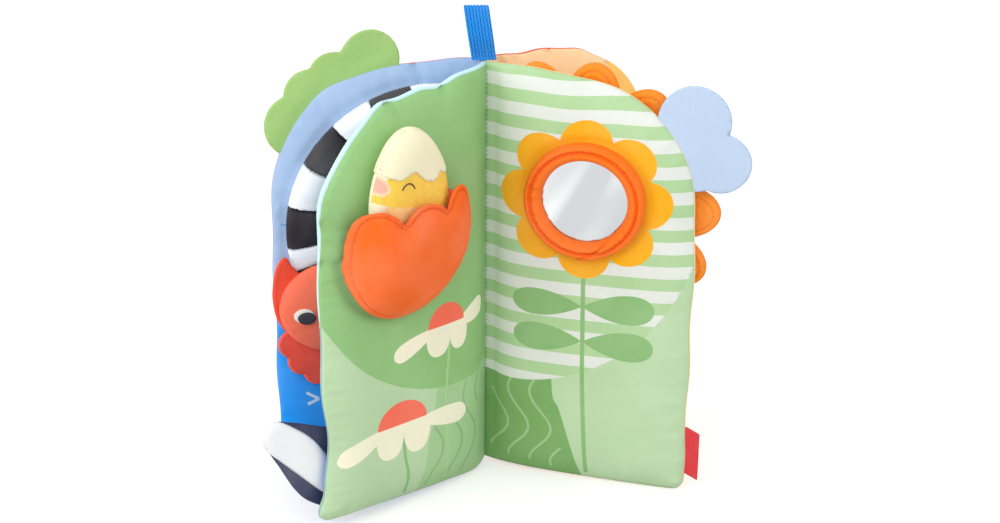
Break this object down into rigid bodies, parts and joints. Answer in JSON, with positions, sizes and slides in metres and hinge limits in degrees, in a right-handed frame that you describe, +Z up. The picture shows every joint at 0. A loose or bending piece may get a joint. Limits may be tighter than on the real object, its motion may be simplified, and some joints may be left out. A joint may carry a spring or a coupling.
{
  "type": "baby soft book",
  "caption": "Sewn cloth book standing half open: padded arched leaves on an upright spine, with a chick in a petal pocket, a soft mirror, a stuffed crab, felt tabs and a hanging loop.",
  "frame": {"origin": "the centre of the foot of the spine, on the surface that the book stands on", "axes": "+Z up along the spine; the reader sits on the -Y side and looks along +Y, with the page that has the mirror on the +X side"},
  "size_m": [0.2478, 0.1559, 0.2598],
  "materials": {
    "spine_cloth": "sewn velour",
    "loop_webbing": "ribbed webbing",
    "page_green_print": "printed short-pile velour",
    "page_back_print": "printed short-pile velour",
    "batting": "polyester wadding",
    "tulip_velour": "velour",
    "petal_velour": "velour",
    "chick_plush": "short plush",
    "shell_velour": "velour",
    "whale_velour": "velour",
    "belly_velour": "velour",
    "page_stripe_print": "printed short-pile velour",
    "page_gold_print": "printed short-pile velour",
    "crinkle_film": "thin crackling film",
    "mirror_film": "soft mirror film",
    "ring_sateen": "smooth sateen",
    "ruff_velour": "velour",
    "ruff_centre_velour": "velour",
    "cloud_felt": "felt",
    "tag_ribbon": "woven ribbon",
    "cover_sky_print": "printed short-pile velour",
    "cover_pink_print": "printed short-pile velour",
    "arch_white_velour": "velour",
    "arch_black_velour": "velour",
    "crab_claw_felt": "felt",
    "crab_skirt_felt": "felt",
    "crab_head_felt": "felt",
    "eye_velour": "velour",
    "bush_felt": "felt",
    "cover_peach_print": "printed short-pile velour",
    "cover_red_print": "printed short-pile velour"
  },
  "bodies": {
    "spine": {"spine_binding": "spine_cloth"},
    "loop": {"hanging_loop": "loop_webbing"},
    "left_page": {"left_page_front": "page_green_print", "left_page_back": "page_back_print", "left_page_batting": "batting", "tulip_back_petal": "petal_velour", "tulip_pocket": "tulip_velour", "whale_body": "whale_velour", "whale_belly": "belly_velour"},
    "chick": {"chick_body": "chick_plush", "chick_shell": "shell_velour"},
    "right_page": {"right_page_front": "page_stripe_print", "right_page_back": "page_gold_print", "right_page_batting": "batting", "right_page_crinkle_film": "crinkle_film", "mirror_film": "mirror_film", "mirror_ring": "ring_sateen", "ruff_petal_1": "ruff_velour", "ruff_petal_2": "ruff_velour", "ruff_petal_3": "ruff_velour", "ruff_petal_4": "ruff_velour", "ruff_petal_5": "ruff_velour", "ruff_petal_6": "ruff_velour", "ruff_petal_7": "ruff_velour", "ruff_petal_8": "ruff_velour", "ruff_petal_9": "ruff_velour", "ruff_centre": "ruff_centre_velour", "cloud_tab": "cloud_felt", "side_tag": "tag_ribbon"},
    "left_cover": {"left_cover_inner": "cover_sky_print", "left_cover_outer": "cover_pink_print", "left_cover_batting": "batting", "left_cover_crinkle_film": "crinkle_film", "arch_segment_1": "arch_white_velour", "arch_segment_2": "arch_black_velour", "arch_segment_3": "arch_white_velour", "arch_segment_4": "arch_black_velour", "arch_segment_5": "arch_white_velour", "arch_segment_6": "arch_black_velour", "arch_segment_7": "arch_white_velour", "arch_segment_8": "arch_black_velour", "crab_claw_outer": "crab_claw_felt", "crab_claw_inner": "crab_claw_felt", "crab_skirt": "crab_skirt_felt", "crab_head": "crab_head_felt", "crab_eye_outer": "eye_velour", "crab_eye_inner": "eye_velour", "bush_tab": "bush_felt"},
    "right_cover": {"right_cover_inner": "cover_peach_print", "right_cover_outer": "cover_red_print", "right_cover_batting": "batting"}
  },
  "joints": [
    {"name": "left_page_turn", "type": "hinge", "parent": "spine", "child": "left_page", "pos_m": [-0.00244, -0.00755, 0], "axis": [0, 0, 1], "range_deg": [-15, 58]},
    {"name": "right_page_turn", "type": "hinge", "parent": "spine", "child": "right_page", "pos_m": [0.00671, -0.00434, 0], "axis": [0, 0, 1], "range_deg": [-60, 22]},
    {"name": "left_cover_turn", "type": "hinge", "parent": "spine", "child": "left_cover", "pos_m": [-0.00614, 0.00449, 0], "axis": [0, 0, 1], "range_deg": [-98, 12]},
    {"name": "right_cover_turn", "type": "hinge", "parent": "spine", "child": "right_cover", "pos_m": [0.00309, 0.00727, 0], "axis": [0, 0, 1], "range_deg": [-22, 95]},
    {"name": "chick_slide", "type": "slide", "parent": "left_page", "child": "chick", "axis": [0, 0, 1], "range_m": [0, 0.07]},
    {"name": "loop_flop", "type": "hinge", "parent": "spine", "child": "loop", "pos_m": [0, 0, 0.2303], "axis": [1, 0, 0], "range_deg": [-55, 55], "stiffness_Nm_per_rad": 0.004}
  ]
}
